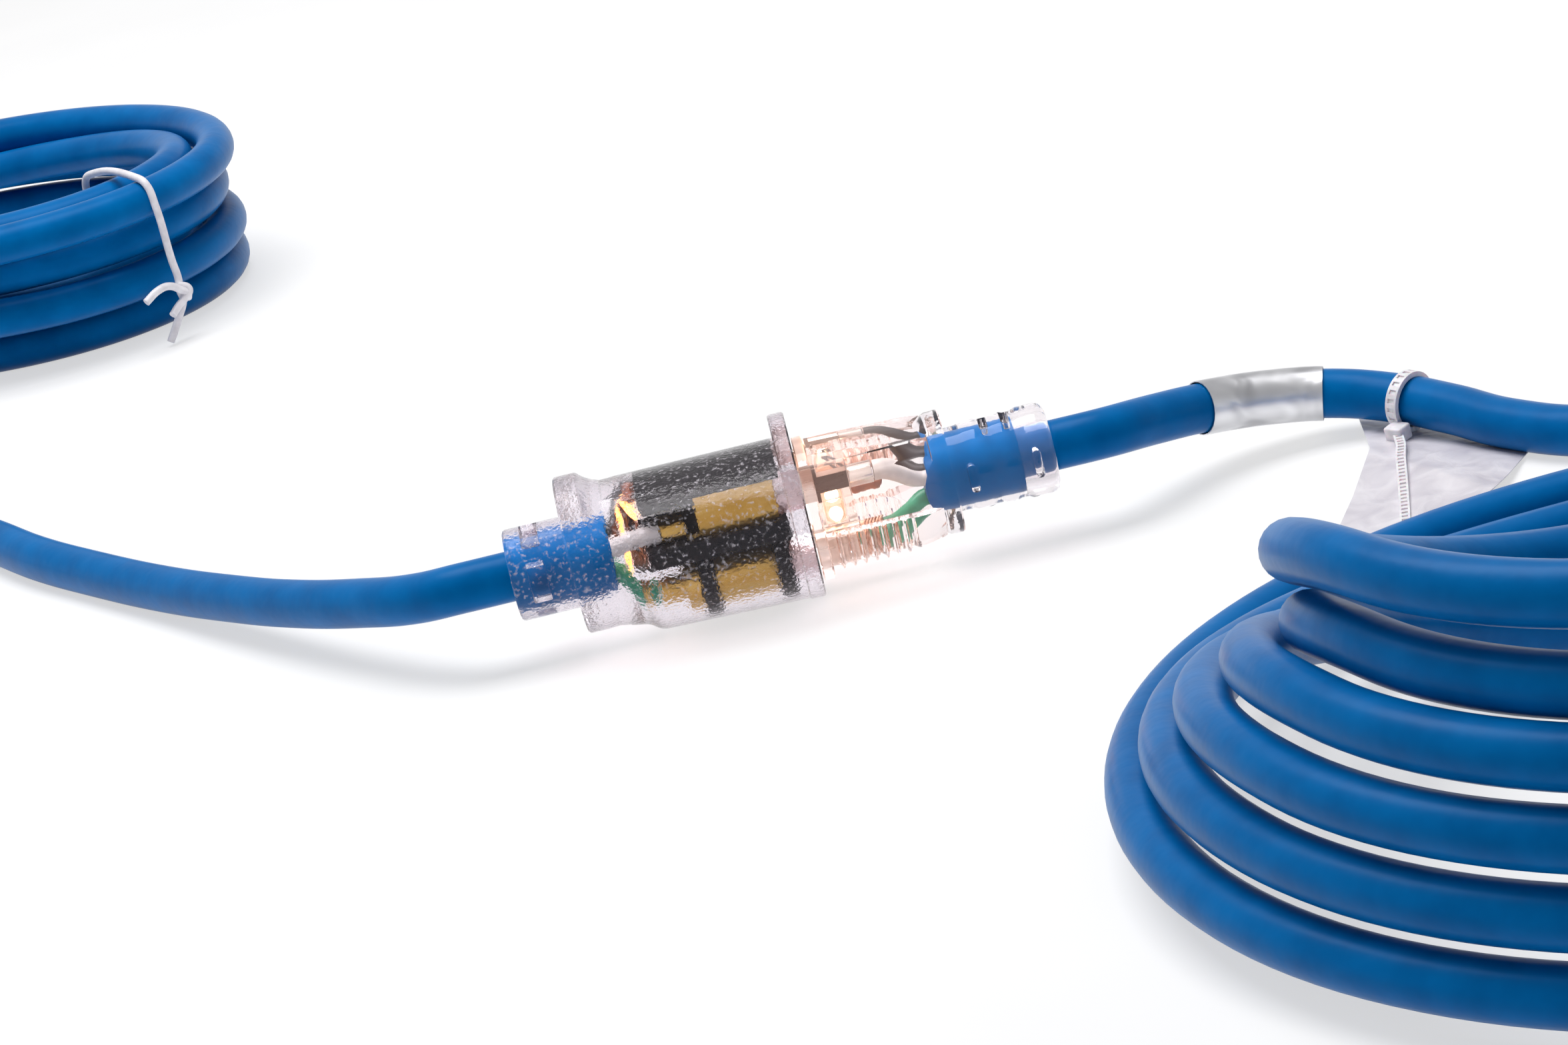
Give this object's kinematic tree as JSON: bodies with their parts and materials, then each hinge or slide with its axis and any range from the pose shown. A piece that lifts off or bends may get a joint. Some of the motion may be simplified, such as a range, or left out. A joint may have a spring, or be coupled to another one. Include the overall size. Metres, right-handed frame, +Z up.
{
  "type": "extension cord set",
  "caption": "Clear lighted cord connector and plug, joined, on one long round cord wound in two loose coils.",
  "frame": {"origin": "on the table under the middle of the joined plug and connector", "axes": "+X from the connector to the plug along their axis, +Z up, -Y towards the viewer"},
  "size_m": [0.5421, 0.74, 0.0648],
  "materials": {
    "frosted_pvc": "clear soft PVC with a satin, faintly frosted skin",
    "clear_pvc": "clear soft PVC, glossy as moulded",
    "black_nylon": "moulded, satin",
    "natural_nylon": "moulded, milky",
    "brass": "stamped, bright",
    "nickel_plate": "nickel plate on brass, bright",
    "lamp_glass": "clear glass bulb, lit orange",
    "resistor_body": "lacquered",
    "black_pvc": "extruded",
    "white_pvc": "extruded",
    "green_pvc": "extruded",
    "blue_pvc": "extruded, satin gloss",
    "foil": "thin metallised film",
    "white_nylon": "moulded, satin",
    "coated_paper": "glossy coated paper",
    "white_wire": "plastic covered wire"
  },
  "bodies": {
    "connector": {"connector_shell": "frosted_pvc", "contact_carrier": "black_nylon", "line_contact": "brass", "neutral_contact": "brass", "ground_contact": "brass", "connector_lamp": "lamp_glass", "connector_resistor": "resistor_body", "connector_black_lead": "black_pvc", "connector_white_lead": "white_pvc", "connector_green_lead": "green_pvc", "connector_cord_end": "blue_pvc", "cord_run_left": "blue_pvc", "coil_left": "blue_pvc", "cord_link": "blue_pvc", "coil_right": "blue_pvc", "cord_run_right": "blue_pvc", "foil_label": "foil", "cable_tie": "white_nylon", "tag": "coated_paper", "twist_tie": "white_wire"},
    "plug": {"plug_shell": "clear_pvc", "blade_holder": "natural_nylon", "line_blade": "nickel_plate", "neutral_blade": "nickel_plate", "ground_pin": "nickel_plate", "plug_lamp": "lamp_glass", "plug_resistor": "resistor_body", "plug_black_lead": "black_pvc", "plug_white_lead": "white_pvc", "plug_green_lead": "green_pvc", "plug_cord_end": "blue_pvc"}
  },
  "joints": [
    {"name": "plug_pull", "type": "slide", "parent": "connector", "child": "plug", "axis": [1, 0, 0], "range_m": [0, 0.022], "deforming": ["cord_run_right"]}
  ]
}
